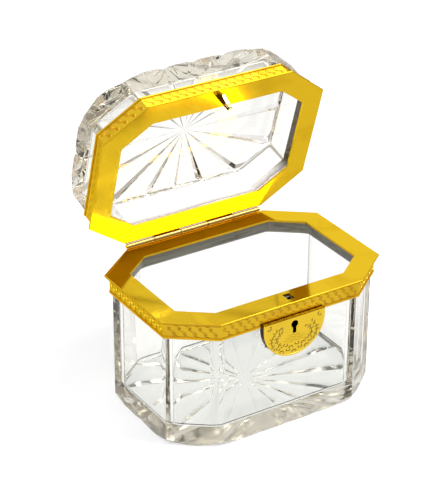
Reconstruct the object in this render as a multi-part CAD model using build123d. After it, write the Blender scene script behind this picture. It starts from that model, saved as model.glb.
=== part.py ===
from build123d import *
import math
import os

# Glass casket box: two cut glass cups, each bound at its rim by a gilt frame,
# joined by a barrel hinge along the back and held shut by a small box lock.
# Millimetres. The origin is the centre of the underside, +Z up, front at -Y.
# The lid is drawn shut and then turned open to the angle of the rest pose.

# --- Outline of the frames: an oblong with its four corners cut off ---
frame_length = 140.0
frame_depth = 97.5
corner_cut_length = 25.0
corner_cut_depth = 19.2

# --- Flat frame plates ---
plate_width = 12.2
plate_thickness = 1.2
plate_edge_chamfer = 0.25
shut_gap = 0.1

# --- Engraved bands under the plates ---
band_setback = 2.4
band_thickness = 0.7
band_height = 9.8
bead_height = 0.9
bead_projection = 0.35

# --- Glass cups ---
base_height = 78.0
lid_height = 31.4
glass_clearance = 0.7
bedding_thickness = 0.8
bedding_recess = 0.4
wall_thickness = 6.6
base_slab = 9.3
lid_slab = 9.3
base_cavity_radius = 10.0
lid_cavity_radius = 5.5
cavity_floor_radius = 4.5
glass_edge_chamfer = 0.3

# --- Star cut into the outer face of each cup ---
ray_count = 16
ray_start = 1.5
ray_half_width_rate = 0.036
ray_depth_rate = 0.03
notch_length = 7.0
side_notch_half_width = 4.0
side_notch_depth = 1.3
corner_notch_half_width = 10.0
base_corner_notch_depth = 2.3
lid_corner_notch_depth = 3.6
cut_overrun = 4.0
cut_tip = 0.02

# --- How far a cutter runs past the face that it opens ---
overrun = 1.0

# --- Hinge ---
hinge_length = 87.0
knuckle_count = 5
knuckle_radius = 1.7
knuckle_gap = 0.35
knuckle_edge_gap = 0.5
hinge_pin_radius = 0.6
hinge_running_clearance = 0.05
hinge_pin_head_radius = 1.05
hinge_pin_head_length = 0.5
leaf_thickness = 0.8
leaf_relief = 0.25
lid_open_angle = 72.9

# --- Staple on the lid and its slot in the base plate ---
staple_inset = 6.55
staple_width = 3.8
staple_tip_width = 2.3
staple_thickness = 2.0
staple_length = 8.4
staple_eye_width = 1.8
staple_eye_height = 3.0
staple_eye_drop = 5.6
staple_slot_length = 4.2
staple_slot_depth = 5.8

# --- Lock: face plate, case, works ---
lock_offset = 1.1
lock_half_width = 19.5
lock_straight = 3.8
lock_drop = 9.2
lock_stand_off = 3.8
face_plate_thickness = 0.5
case_wall = 0.8
case_back = 0.6
band_running_gap = 0.05
works_half_width = 16.0
works_drop = 25.0
works_depth = 5.05
works_top_gap = 0.1
works_window_half_width = 12.0
works_notch_clearance = 0.3
lug_size = 2.0
back_plate_thickness = 0.7
back_plate_gap = 0.1
rivet_radius = 0.45
rivet_head_radius = 0.8
rivet_head_height = 0.35
rivet_depth = 2.0
keyhole_drop = 13.6
keyhole_radius = 2.2
keyhole_slot_width = 2.2
keyhole_height = 7.6
key_pin_radius = 0.8
key_pin_length = 6.0
ward_inner_radius = 3.0
ward_wall = 0.5
ward_height = 1.2
ward_gap_half_width = 2.0

# --- Bolt, its guides and its spring ---
bolt_thickness = 1.5
bolt_height = 3.2
bolt_nose_height = 2.2
bolt_nose_length = 3.0
bolt_length = 11.3
bolt_tip_gap = 0.6
yoke_bar_height = 1.1
yoke_bar_gap = 0.2
prong_width = 1.2
prong_drop = 2.0
guide_radius = 0.5
guide_shoulder_radius = 0.9
guide_clearance = 0.05
guide_head_thickness = 0.5
guide_spacing = 2.8
guide_offset = 1.0
spring_thickness = 0.3
spring_width = 1.4
spring_rise = 0.7
spring_reach = 7.6
spring_toe = 1.6
spring_clearance = 0.05

# --- Values worked out from those above ---
half_length = frame_length / 2
half_depth = frame_depth / 2
corner_slant = math.hypot(corner_cut_length, corner_cut_depth)
normal_x = corner_cut_depth / corner_slant
normal_y = corner_cut_length / corner_slant
corner_reach = normal_x * (half_length - corner_cut_length) + normal_y * half_depth
shut_level = base_height + shut_gap / 2
plate_underside = base_height - plate_thickness
band_bottom = plate_underside - band_height
glass_rim = plate_underside - bedding_thickness
glass_setback = band_setback + band_thickness + glass_clearance
cavity_setback = glass_setback + wall_thickness
glass_front = half_depth - glass_setback
staple_centre = half_depth - staple_inset
hinge_y = half_depth + knuckle_edge_gap + knuckle_radius
knuckle_length = (hinge_length - (knuckle_count - 1) * knuckle_gap) / knuckle_count
lock_top = base_height - lock_drop
lock_face = glass_front + lock_stand_off
works_top = glass_rim - works_top_gap
works_bottom = base_height - works_drop
works_back = glass_front - works_depth
works_inner_half_width = works_half_width - case_wall
works_inner_top = works_top - case_wall
works_inner_bottom = works_bottom + case_wall
keyhole_level = base_height - keyhole_drop
bolt_level = base_height - staple_eye_drop
bolt_tip = staple_thickness / 2 + bolt_tip_gap
bolt_body_start = bolt_tip + bolt_nose_length
bolt_travel = staple_thickness + 2 * bolt_tip_gap
key_reach = keyhole_height - keyhole_radius


def octagon(setback=0.0, corner_radius=0.0):
    """The frame's outline, moved inwards by setback."""
    reach = corner_reach - setback
    x = half_length - setback
    y = half_depth - setback
    straight_x = (reach - normal_y * y) / normal_x
    straight_y = (reach - normal_x * x) / normal_y
    right = [(x, -straight_y), (x, straight_y)]
    back = [(straight_x, y), (-straight_x, y)]
    left = [(-x, straight_y), (-x, -straight_y)]
    front = [(-straight_x, -y), (straight_x, -y)]
    outline = make_face(Polyline(*right, *back, *left, *front, close=True))
    if corner_radius > 0:
        outline = fillet(outline.vertices(), corner_radius)
    return outline


def prism(setback, bottom, top, corner_radius=0.0):
    """An upright block with the frame's outline."""
    return Pos(0, 0, bottom) * extrude(octagon(setback, corner_radius), top - bottom)


def block(x_low, x_high, y_low, y_high, z_low, z_high):
    """A box given by its limits along each axis."""
    size = (x_high - x_low, y_high - y_low, z_high - z_low)
    centre = ((x_low + x_high) / 2, (y_low + y_high) / 2, (z_low + z_high) / 2)
    return Pos(*centre) * Box(*size)


def rod_along_y(x, z, radius, y_low, y_high):
    """A round bar from front to back."""
    return Pos(x, (y_low + y_high) / 2, z) * Rot(X=90) * Cylinder(radius, y_high - y_low)


def rod_along_x(y, z, radius, x_low, x_high):
    """A round bar from left to right."""
    return Pos((x_low + x_high) / 2, y, z) * Rot(Y=90) * Cylinder(radius, x_high - x_low)


def mirrored_up(solid):
    """A base piece mirrored in the joint between the two frames."""
    return solid.mirror(Plane.XY.offset(shut_level))


def opened(solid):
    """A piece of the lid, drawn shut, turned open to the rest pose."""
    return Pos(0, hinge_y, shut_level) * Rot(X=-lid_open_angle) * Pos(0, -hinge_y, -shut_level) * solid


def at_lock(piece):
    """A piece drawn with the lock's centre line at x = 0, moved to where the lock sits."""
    moved = [Pos(lock_offset, 0, 0) * solid for solid in piece.solids()]
    return moved[0] if len(moved) == 1 else Compound(children=moved)


# --- Cut glass ---

def edge_distance(angle, setback):
    """Distance from the centre to the octagon's edge in one direction, degrees."""
    reach = corner_reach - setback
    along_x = abs(math.cos(math.radians(angle)))
    along_y = abs(math.sin(math.radians(angle)))
    to_corner_cut = reach / (normal_x * along_x + normal_y * along_y)
    to_end = (half_length - setback) / max(along_x, cut_tip)
    to_side = (half_depth - setback) / max(along_y, cut_tip)
    return min(to_corner_cut, to_end, to_side)


def wedge(angle, start, end, end_half_width, end_depth):
    """A V-shaped cutter under z = 0 that widens and deepens outwards."""
    def section(radius, half_width, depth):
        plane = Plane((radius, 0, 0), x_dir=(0, 1, 0), z_dir=(1, 0, 0))
        spread = half_width * (1 + cut_overrun / depth)
        tip = (0, depth)
        left = (-spread, -cut_overrun)
        right = (spread, -cut_overrun)
        return plane * make_face(Polyline(tip, left, right, close=True))

    ratio = end_half_width / end_depth
    small = section(start, cut_tip * ratio, cut_tip)
    large = section(end, end_half_width, end_depth)
    return Rot(Z=angle) * loft([small, large], ruled=True)


def star_cutters(corner_notch_depth):
    """The rays of the star and the notches where they run out at the edge."""
    cutters = []
    for index in range(ray_count):
        angle = 360.0 * index / ray_count
        edge = edge_distance(angle, glass_setback)
        end = edge + cut_overrun
        cutters.append(wedge(angle, ray_start, end, ray_half_width_rate * end, ray_depth_rate * end))
        runs_to_corner = index % 8 in (1, 2, 6, 7)
        half_width = corner_notch_half_width if runs_to_corner else side_notch_half_width
        depth = corner_notch_depth if runs_to_corner else side_notch_depth
        grow = (notch_length + cut_overrun) / notch_length
        cutters.append(wedge(angle, edge - notch_length, end, half_width * grow, depth * grow))
    return cutters


def glass_cup(height, slab, cavity_radius, corner_notch_depth):
    """A cup standing on its star-cut face, open at the top."""
    body = prism(glass_setback, 0, height)
    upright = body.edges().filter_by(Axis.Z)
    body = chamfer(upright, glass_edge_chamfer)
    hollow = prism(cavity_setback, slab, height + cut_overrun, cavity_radius)
    floor = hollow.faces().sort_by(Axis.Z)[0]
    hollow = fillet(floor.edges(), cavity_floor_radius)
    cup = body - hollow
    for cutter in star_cutters(corner_notch_depth):
        cup = cup - cutter
    return cup


def lock_notch():
    """The gap ground through the front wall for the works of the lock."""
    side = works_half_width + works_notch_clearance
    low = works_bottom - works_notch_clearance
    return at_lock(block(-side, side, -half_depth, -(works_back - wall_thickness), low, base_height))


def make_base_glass():
    return glass_cup(glass_rim, base_slab, base_cavity_radius, base_corner_notch_depth) - lock_notch()


def make_lid_glass():
    height = lid_height - plate_thickness - bedding_thickness
    cup = glass_cup(height, lid_slab, lid_cavity_radius, lid_corner_notch_depth)
    rim_up = Rot(X=180) * cup
    return Pos(0, 0, base_height + shut_gap + lid_height) * rim_up


# --- Frames ---

def frame_plate():
    """The base's flat frame plate, with its outer upper edge broken."""
    plate = prism(0, plate_underside, base_height)
    top_edges = plate.faces().sort_by(Axis.Z)[-1].edges()
    plate = chamfer(top_edges, plate_edge_chamfer)
    return plate - prism(plate_width, plate_underside - overrun, base_height + overrun)


def frame_band():
    """The base's band, with a bead along its upper and its lower edge."""
    band = prism(band_setback, band_bottom, plate_underside)
    bead_setback = band_setback - bead_projection
    band = band + prism(bead_setback, band_bottom, band_bottom + bead_height)
    band = band + prism(bead_setback, plate_underside - bead_height, plate_underside)
    return band - prism(band_setback + band_thickness, band_bottom - overrun, plate_underside + overrun)


def frame_bedding(cavity_radius):
    """The plaster that fills the frame round the rim of the glass."""
    outer = prism(band_setback + band_thickness, band_bottom + bedding_recess, plate_underside)
    glass = prism(glass_setback, band_bottom, glass_rim)
    mouth = prism(cavity_setback, band_bottom, base_height, cavity_radius)
    return outer - glass - mouth


def staple_slot(length, depth):
    """An upright cutter for a slot at the staple's place, drawn with the lock at x = 0."""
    return block(-length / 2, length / 2, -staple_centre - depth / 2, -staple_centre + depth / 2,
                 glass_rim - case_wall - overrun, base_height + overrun)


def make_base_rim_plate():
    return frame_plate() - at_lock(staple_slot(staple_slot_length, staple_slot_depth))


def make_base_bedding():
    return frame_bedding(base_cavity_radius) - at_lock(staple_slot(staple_slot_length, staple_slot_depth))


def make_lid_rim_plate():
    return mirrored_up(frame_plate() - at_lock(staple_slot(staple_thickness, staple_width)))


def make_staple():
    """A tongue let into the lid's plate, straight at the back and slanted in front, with an
    eye for the bolt."""
    underside = base_height + shut_gap
    top = underside + plate_thickness
    tip = underside - staple_length
    outline = Polyline(
        (-staple_width / 2, top), (staple_width / 2, top),
        (staple_width / 2, underside), (staple_width / 2, tip),
        (staple_width / 2 - staple_tip_width, tip), (-staple_width / 2, underside), close=True)
    side_view = Plane((-staple_thickness / 2, -staple_centre, 0), x_dir=(0, 1, 0), z_dir=(1, 0, 0))
    tongue = extrude(side_view * make_face(outline), staple_thickness)
    tip_edges = tongue.edges().filter_by(Axis.X).sort_by(Axis.Z)[:2]
    tongue = fillet(tip_edges, staple_tip_width / 3)
    eye = block(-staple_thickness, staple_thickness,
                -staple_centre - staple_eye_width / 2, -staple_centre + staple_eye_width / 2,
                bolt_level - staple_eye_height / 2, bolt_level + staple_eye_height / 2)
    return tongue - eye


# --- Hinge ---

def knuckle_span(index):
    """Left and right end of one knuckle, counted from the left."""
    left = -hinge_length / 2 + index * (knuckle_length + knuckle_gap)
    return left, left + knuckle_length


def hinge_leaf(indices):
    """A leaf under the base plate's overhang with the knuckles named by indices."""
    y_low = half_depth - band_setback + bead_projection
    z_high = plate_underside
    z_low = z_high - leaf_thickness
    relieved = hinge_y - knuckle_radius - leaf_relief
    leaf = block(-hinge_length / 2, hinge_length / 2, y_low, relieved, z_low, z_high)
    for index in indices:
        left, right = knuckle_span(index)
        leaf = leaf + block(left, right, relieved, hinge_y, z_low, z_high)
        leaf = leaf + rod_along_x(hinge_y, shut_level, knuckle_radius, left, right)
    bore = hinge_pin_radius + hinge_running_clearance
    return leaf - rod_along_x(hinge_y, shut_level, bore, -hinge_length, hinge_length)


def make_base_hinge_leaf():
    return hinge_leaf(range(0, knuckle_count, 2))


def make_lid_hinge_leaf():
    return mirrored_up(hinge_leaf(range(1, knuckle_count, 2)))


def make_hinge_pin():
    """The pin through all knuckles, with a flat head at each end."""
    end = hinge_length / 2 + hinge_running_clearance
    pin = rod_along_x(hinge_y, shut_level, hinge_pin_radius, -end, end)
    for side in (-1, 1):
        ends = sorted((side * end, side * (end + hinge_pin_head_length)))
        pin = pin + rod_along_x(hinge_y, shut_level, hinge_pin_head_radius, *ends)
    return pin


# --- Lock ---

def lock_outline(inset):
    """A half disc with a short straight top, drawn in the front plane."""
    radius = lock_half_width - inset
    centre = lock_top - lock_straight
    top = lock_top - inset
    left_edge = Line((-radius, top), (-radius, centre))
    bowl = ThreePointArc((-radius, centre), (0, centre - radius), (radius, centre))
    right_edge = Line((radius, centre), (radius, top))
    top_edge = Line((radius, top), (-radius, top))
    return make_face([left_edge, bowl, right_edge, top_edge])


def lock_slab(inset, y_front, y_back):
    """The lock's outline as a slab between two distances in front of the centre."""
    front_plane = Plane((0, -y_front, 0), x_dir=(1, 0, 0), z_dir=(0, -1, 0))
    return extrude(front_plane * lock_outline(inset), y_back - y_front)


def keyhole(y_front, y_back):
    """A round hole with a slot below it, from front to back."""
    slot_bottom = keyhole_level + keyhole_radius - keyhole_height
    hole = rod_along_y(0, keyhole_level, keyhole_radius, -y_front, -y_back)
    slot = block(-keyhole_slot_width / 2, keyhole_slot_width / 2, -y_front, -y_back,
                 slot_bottom, keyhole_level)
    return hole + slot


def make_escutcheon():
    plate = lock_slab(0, lock_face, lock_face - face_plate_thickness)
    return plate - keyhole(lock_face + overrun, lock_face - face_plate_thickness - overrun)


def lug_places():
    """Centres of the four lugs in the corners of the works."""
    x = works_inner_half_width - lug_size / 2
    return [(side * x, z)
            for side in (-1, 1)
            for z in (works_inner_bottom + lug_size / 2, works_inner_top - lug_size / 2)]


def make_lock_case():
    """A shallow tray behind the face plate, open to a deeper box let into the glass."""
    tray_front = lock_face - face_plate_thickness
    tray = lock_slab(0, tray_front, glass_front)
    tray = tray - lock_slab(case_wall, tray_front + overrun, glass_front + case_back)
    band_front = half_depth - band_setback + bead_projection + band_running_gap
    tray = tray - block(-half_length, half_length, -band_front, 0,
                        band_bottom - band_running_gap, base_height)
    works = block(-works_half_width, works_half_width, -glass_front, -works_back,
                  works_bottom, works_top)
    works = works - block(-works_inner_half_width, works_inner_half_width,
                          -glass_front + case_back, -works_back + overrun,
                          works_inner_bottom, works_inner_top)
    case = tray + works
    case = case - block(-works_window_half_width, works_window_half_width,
                        -glass_front - case_back, -glass_front + case_back,
                        works_inner_bottom, band_bottom - case_back)
    for x, z in lug_places():
        case = case + block(x - lug_size / 2, x + lug_size / 2, -glass_front + case_back / 2, -works_back,
                            z - lug_size / 2, z + lug_size / 2)
        case = case - rod_along_y(x, z, rivet_radius, -works_back - rivet_depth, -works_back)
    return case - staple_slot(staple_slot_length, works_depth - 2 * case_back)


def make_lock_back_plate():
    side = works_half_width - back_plate_gap
    plate = block(-side, side, -works_back, -works_back + back_plate_thickness,
                  works_bottom + back_plate_gap, works_top - back_plate_gap)
    for x, z in lug_places():
        plate = plate - rod_along_y(x, z, rivet_radius, -works_back - overrun, -works_back + overrun)
    return plate


def make_lock_rivets():
    """The four rivets that hold the back plate to the lugs."""
    face = -works_back + back_plate_thickness
    rivets = []
    for x, z in lug_places():
        shank = rod_along_y(x, z, rivet_radius, -works_back - rivet_depth, face)
        head = rod_along_y(x, z, rivet_head_radius, face, face + rivet_head_height)
        rivets.append(shank + head)
    return Compound(children=rivets)


def guide_places():
    """Where the two bolt guides stand, left to right."""
    first = bolt_body_start + guide_offset
    return [first, first + guide_spacing]


def make_lock_bolt():
    """The bolt, drawn back: a nose, a slotted body and, on an arm that hangs beside the
    staple, a yoke whose two prongs the key's bit pushes apart from inside."""
    y_low = -staple_centre - bolt_thickness / 2
    y_high = -staple_centre + bolt_thickness / 2
    nose = block(bolt_tip, bolt_body_start, y_low, y_high,
                 bolt_level - bolt_nose_height / 2, bolt_level + bolt_nose_height / 2)
    body = block(bolt_body_start, bolt_tip + bolt_length, y_low, y_high,
                 bolt_level - bolt_height / 2, bolt_level + bolt_height / 2)
    right_prong = key_reach
    left_prong = bolt_travel - key_reach
    bar_low = keyhole_level + keyhole_radius + yoke_bar_gap
    bar_high = bar_low + yoke_bar_height
    arm = block(bolt_body_start, right_prong + prong_width, y_low, y_high, bar_low, bolt_level)
    yoke = block(left_prong - prong_width, right_prong + prong_width, y_low, y_high,
                 keyhole_level - prong_drop, bar_high)
    yoke = yoke - block(left_prong, right_prong, y_low - overrun, y_high + overrun,
                        keyhole_level - prong_drop - overrun, bar_low)
    first, last = guide_places()
    reach = guide_radius + guide_clearance
    slot = block(first - reach, last + bolt_travel + reach, y_low - overrun, y_high + overrun,
                 bolt_level - reach, bolt_level + reach)
    return nose + body + arm + yoke - slot


def make_bolt_guides():
    """Two shouldered pins, riveted over the bolt so that it can only slide."""
    bolt_back = -staple_centre + bolt_thickness / 2 + guide_clearance
    bolt_front = -staple_centre - bolt_thickness / 2 - guide_clearance
    guides = []
    for x in guide_places():
        shoulder = rod_along_y(x, bolt_level, guide_shoulder_radius, bolt_back, -works_back)
        pin = rod_along_y(x, bolt_level, guide_radius, bolt_front, bolt_back)
        head = rod_along_y(x, bolt_level, guide_shoulder_radius,
                           bolt_front - guide_head_thickness, bolt_front)
        guides.append(shoulder + pin + head)
    return Compound(children=guides)


def make_bolt_spring():
    """A bent leaf fixed at the lug beside it, bearing on the top of the bolt."""
    fixed_end = works_inner_half_width - lug_size - spring_thickness / 2
    contact = bolt_level + bolt_height / 2 + spring_clearance
    low = contact + spring_thickness / 2
    high = low + spring_rise
    centre_line = Polyline(
        (fixed_end, high),
        (fixed_end - spring_reach / 3, high),
        (fixed_end - spring_reach, low),
        (fixed_end - spring_reach - spring_toe, low + spring_rise / 2))
    strip = offset(centre_line, amount=spring_thickness / 2, side=Side.BOTH)
    profile = make_face(strip)
    plane = Plane((0, -staple_centre + spring_width / 2, 0), x_dir=(1, 0, 0), z_dir=(0, -1, 0))
    return extrude(plane * profile, spring_width)


def make_key_pin():
    return rod_along_y(0, keyhole_level, key_pin_radius, -works_back - key_pin_length, -works_back)


def make_key_ward():
    """A low ring wall round the key pin, open below where the key's bit enters."""
    front = -works_back - ward_height
    ward = rod_along_y(0, keyhole_level, ward_inner_radius + ward_wall, front, -works_back)
    ward = ward - rod_along_y(0, keyhole_level, ward_inner_radius, front - overrun, -works_back + overrun)
    return ward - block(-ward_gap_half_width, ward_gap_half_width, front - overrun,
                        -works_back + overrun, keyhole_level - 2 * ward_inner_radius, keyhole_level)


nodes = {
    "base_glass": make_base_glass(),
    "base_bedding": make_base_bedding(),
    "base_rim_plate": make_base_rim_plate(),
    "base_band": frame_band(),
    "base_hinge_leaf": make_base_hinge_leaf(),
    "hinge_pin": make_hinge_pin(),
    "lid_hinge_leaf": opened(make_lid_hinge_leaf()),
    "lid_rim_plate": opened(make_lid_rim_plate()),
    "lid_band": opened(mirrored_up(frame_band())),
    "lid_bedding": opened(mirrored_up(frame_bedding(lid_cavity_radius))),
    "lid_glass": opened(make_lid_glass()),
    "staple": opened(at_lock(make_staple())),
    "escutcheon": at_lock(make_escutcheon()),
    "lock_case": at_lock(make_lock_case()),
    "lock_back_plate": at_lock(make_lock_back_plate()),
    "lock_rivets": at_lock(make_lock_rivets()),
    "lock_bolt": at_lock(make_lock_bolt()),
    "bolt_guides": at_lock(make_bolt_guides()),
    "bolt_spring": at_lock(make_bolt_spring()),
    "key_pin": at_lock(make_key_pin()),
    "key_ward": at_lock(make_key_ward()),
}

os.makedirs("parts", exist_ok=True)
for name, node in nodes.items():
    export_step(node, f"parts/{name}.step")
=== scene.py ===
"""Glass casket box with gilt frames: looks, light and camera.

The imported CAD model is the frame. Everything is in metres, +Z up, front at -Y,
but the sizes of pieces are written in millimetres, until their mesh is made.
"""
from __future__ import annotations

import logging
import math
from dataclasses import dataclass, field
from enum import Enum
from typing import Any, Callable, Mapping, Sequence

import bmesh
import bpy
from mathutils import Matrix, Vector
from mathutils.geometry import tessellate_polygon

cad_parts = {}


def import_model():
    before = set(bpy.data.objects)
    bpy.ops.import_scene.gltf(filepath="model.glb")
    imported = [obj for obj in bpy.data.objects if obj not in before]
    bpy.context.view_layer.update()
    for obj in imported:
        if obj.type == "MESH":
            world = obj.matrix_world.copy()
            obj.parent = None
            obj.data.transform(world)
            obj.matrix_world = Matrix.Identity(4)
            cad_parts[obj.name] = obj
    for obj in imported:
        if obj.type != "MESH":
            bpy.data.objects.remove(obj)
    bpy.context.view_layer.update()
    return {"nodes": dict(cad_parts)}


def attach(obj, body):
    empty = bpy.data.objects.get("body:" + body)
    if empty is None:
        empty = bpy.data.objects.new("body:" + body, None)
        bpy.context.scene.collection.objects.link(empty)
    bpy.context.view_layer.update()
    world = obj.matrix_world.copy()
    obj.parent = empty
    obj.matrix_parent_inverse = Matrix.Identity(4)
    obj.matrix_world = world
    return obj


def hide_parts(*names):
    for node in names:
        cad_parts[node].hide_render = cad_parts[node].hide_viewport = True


MM = 0.001
FULL_TURN = 2 * math.pi
HERE = Matrix.Identity(4)
LOG = logging.getLogger("casket")

Colour = tuple[float, float, float]
Point2 = tuple[float, float]
Path2 = list[Point2]
Ring = list[Vector]
Face = tuple[int, ...]
Place = tuple[Vector, Vector]
Value = Any
Material = bpy.types.Material
Object = bpy.types.Object


# --------------------------------------------------------------------------
# Shader trees written as Python expressions
# --------------------------------------------------------------------------

def maths(operation: str, reflected: bool = False) -> Callable[[Wire, Value], Wire]:
    """Makes a method of Wire that adds a Math node.

    Args:
        operation: The node's operation.
        reflected: Whether the wire is the node's second input instead of its first.

    Returns:
        The method.
    """
    def method(wire: Wire, other: Value) -> Wire:
        """Works the wire out with another value."""
        inputs = (other, wire) if reflected else (wire, other)
        return wire.recipe.out("ShaderNodeMath", {"operation": operation}, dict(enumerate(inputs)))
    return method


class Wire:
    """An output socket on which Python's operators add Math nodes."""

    __add__ = maths("ADD")
    __radd__ = maths("ADD", reflected=True)
    __sub__ = maths("SUBTRACT")
    __rsub__ = maths("SUBTRACT", reflected=True)
    __mul__ = maths("MULTIPLY")
    __rmul__ = maths("MULTIPLY", reflected=True)
    __truediv__ = maths("DIVIDE")
    __rtruediv__ = maths("DIVIDE", reflected=True)
    larger = maths("MAXIMUM")

    def __init__(self, recipe: Recipe, socket: bpy.types.NodeSocket) -> None:
        """Wraps one output socket of a recipe's tree."""
        self.recipe = recipe
        self.socket = socket

    def unsigned(self) -> Wire:
        """The value without its sign."""
        return self.recipe.out("ShaderNodeMath", {"operation": "ABSOLUTE"}, {0: self})

    def ramp(self, low: float, high: float) -> Wire:
        """A smooth step from 0 at low to 1 at high.

        Args:
            low: Where the step starts.
            high: Where it ends; below low the step falls.

        Returns:
            The step's value.
        """
        settings = {"interpolation_type": "SMOOTHSTEP"}
        sockets = {"Value": self, "From Min": low, "From Max": high}
        return self.recipe.out("ShaderNodeMapRange", settings, sockets, "Result")


class Recipe:
    """A node tree that is being filled, for one material or for the world."""

    def __init__(self, tree: bpy.types.NodeTree) -> None:
        """Empties the tree it is given."""
        self.tree = tree
        tree.nodes.clear()

    def node(self, kind: str, settings: Mapping[str, Value] | None = None,
             sockets: Mapping[str | int, Value] | None = None) -> bpy.types.Node:
        """Adds any node.

        Args:
            kind: The node's type.
            settings: Its properties, set first. "stops" are a colour ramp's places and colours.
            sockets: Its inputs by name or number, as wires or plain values.

        Returns:
            The new node.
        """
        node = self.tree.nodes.new(kind)
        for name, value in (settings or {}).items():
            if name == "stops":
                self._set_stops(node.color_ramp.elements, value)
            else:
                setattr(node, name, value)
        for key, value in (sockets or {}).items():
            if isinstance(value, Wire):
                self.tree.links.new(value.socket, node.inputs[key])
            else:
                node.inputs[key].default_value = value
        return node

    @staticmethod
    def _set_stops(elements: bpy.types.ColorRampElements, stops: Sequence[tuple[float, Colour]]) -> None:
        """Gives a colour ramp its stops.

        Args:
            elements: The ramp's stops as they are.
            stops: Place and colour of each that is wanted.
        """
        while len(elements) < len(stops):
            elements.new(1.0)
        for element, (place, colour) in zip(elements, stops):
            element.position = place
            element.color = (*colour, 1.0)

    def out(self, kind: str, settings: Mapping[str, Value] | None = None,
            sockets: Mapping[str | int, Value] | None = None, output: str | int = 0) -> Wire:
        """Adds a node and wraps one of its outputs.

        Args:
            kind: The node's type.
            settings: Its properties.
            sockets: Its inputs.
            output: Name or number of the output that is wanted.

        Returns:
            That output.
        """
        return Wire(self, self.node(kind, settings, sockets).outputs[output])

    def own(self) -> Wire:
        """The piece's own coordinates, in metres."""
        return self.out("ShaderNodeTexCoord", output="Object")

    def axis(self, name: str) -> Wire:
        """One of the piece's own coordinates, in metres."""
        return self.out("ShaderNodeSeparateXYZ", None, {0: self.own()}, name)

    def along(self, vector: Wire, direction: Sequence[float]) -> Wire:
        """How far a vector reaches in one direction."""
        sockets = {0: vector, 1: direction}
        return self.out("ShaderNodeVectorMath", {"operation": "DOT_PRODUCT"}, sockets, "Value")

    def noise(self, scale: float, detail: float, stretch: Sequence[float] = (1.0, 1.0, 1.0)) -> Wire:
        """Cloudy noise over the piece.

        Args:
            scale: Waves to the metre.
            detail: Number of finer layers.
            stretch: Scale along each axis, to draw the noise out into streaks.

        Returns:
            A value about 0.5.
        """
        place = self.out("ShaderNodeMapping", None, {"Vector": self.own(), "Scale": stretch})
        return self.out("ShaderNodeTexNoise", None, {"Vector": place, "Scale": scale, "Detail": detail})

    def blend(self, factor: Value, first: Value, second: Value) -> Wire:
        """A colour between two.

        Args:
            factor: 0 for the first, 1 for the second.
            first: Colour or wire.
            second: Colour or wire.

        Returns:
            The mixed colour.
        """
        colours = [value if isinstance(value, Wire) else (*value, 1.0) for value in (first, second)]
        sockets = {0: factor, 6: colours[0], 7: colours[1]}
        return self.out("ShaderNodeMix", {"data_type": "RGBA"}, sockets, 2)

    def bump(self, height: Wire, depth: float) -> Wire:
        """A surface normal pushed about by a height, which stands for depth metres at 1."""
        return self.out("ShaderNodeBump", None, {"Strength": 1.0, "Distance": depth, "Height": height})

    def close(self, shader: Wire, body: Wire | None = None) -> None:
        """Ends a material's tree.

        Args:
            shader: What its surface does.
            body: What its inside does, where light passes through.
        """
        sockets = {"Surface": shader}
        if body:
            sockets["Volume"] = body
        self.node("ShaderNodeOutputMaterial", None, sockets)


def material_recipe(name: str) -> tuple[Material, Recipe]:
    """A new empty material.

    Args:
        name: The material's name.

    Returns:
        The material and the recipe that fills it.
    """
    material = bpy.data.materials.new(name)
    material.use_nodes = True
    return material, Recipe(material.node_tree)


# --------------------------------------------------------------------------
# Finishes
# --------------------------------------------------------------------------

class Grain(Enum):
    """Which way polishing marks run, as their stretch along each axis."""

    ALONG_X = (0.04, 1.0, 1.0)
    UPRIGHT = (1.0, 1.0, 0.04)


@dataclass(frozen=True)
class Finish:
    """What all finishes share: a name, and one shader that closes the tree."""

    name: str

    def inputs(self, recipe: Recipe) -> dict[str, Value]:
        """The shader's inputs, which each finish has its own way to fill."""
        raise NotImplementedError

    def body(self, recipe: Recipe) -> Wire | None:
        """What the finish does to light inside the piece: nothing, but in glass."""
        return None

    def make(self) -> Material:
        """Writes the finish as nodes.

        Returns:
            The material.
        """
        material, recipe = material_recipe(self.name)
        shader = recipe.out("ShaderNodeBsdfPrincipled", None, self.inputs(recipe))
        recipe.close(shader, self.body(recipe))
        return material


@dataclass(frozen=True)
class Gilt(Finish):
    """Gilt brass: warm yellow, satin, with faint polishing marks and tarnish in patches.

    Below edge_level, in millimetres, it is rougher, and darker: a painted shade that dims the
    lamp's highlight on the edge.
    """

    tone: Colour = (0.83, 0.53, 0.022)
    tarnish_and_edge_shade_tone: Colour = (0.52, 0.27, 0.006)
    tarnish: float = 0.3
    roughness: float = 0.09
    cloud_roughness: float = 0.06
    mark_roughness: float = 0.05
    mark_depth: float = 0.004
    rim_tint: Colour = (1.0, 0.86, 0.40)
    edge_level: float = -1000.0
    edge_roughness: float = 0.30
    edge_shade: float = 0.45

    def inputs(self, recipe: Recipe) -> dict[str, Value]:
        """The shader's inputs.

        Args:
            recipe: The material's tree.

        Returns:
            The inputs by name.
        """
        edge = recipe.axis("Z").ramp(self.edge_level * MM, (self.edge_level - 0.01) * MM)
        clouds = recipe.noise(60.0, 3.0)
        marks = recipe.noise(2500.0, 2.0, Grain.ALONG_X.value)
        patches = clouds.ramp(0.45, 0.75) * self.tarnish
        polished = recipe.blend(patches, self.tone, self.tarnish_and_edge_shade_tone)
        rough = edge * self.edge_roughness + self.roughness + (clouds - 0.5) * self.cloud_roughness
        return {
            # Painted shade: below edge_level the colour darkens toward the tarnish tone.
            "Base Color": recipe.blend(edge * self.edge_shade, polished, self.tarnish_and_edge_shade_tone),
            "Metallic": 1.0,
            "Specular Tint": (*self.rim_tint, 1.0),
            "Roughness": rough + (marks - 0.5) * self.mark_roughness,
            "Normal": recipe.bump(marks, self.mark_depth * MM),
        }


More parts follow.
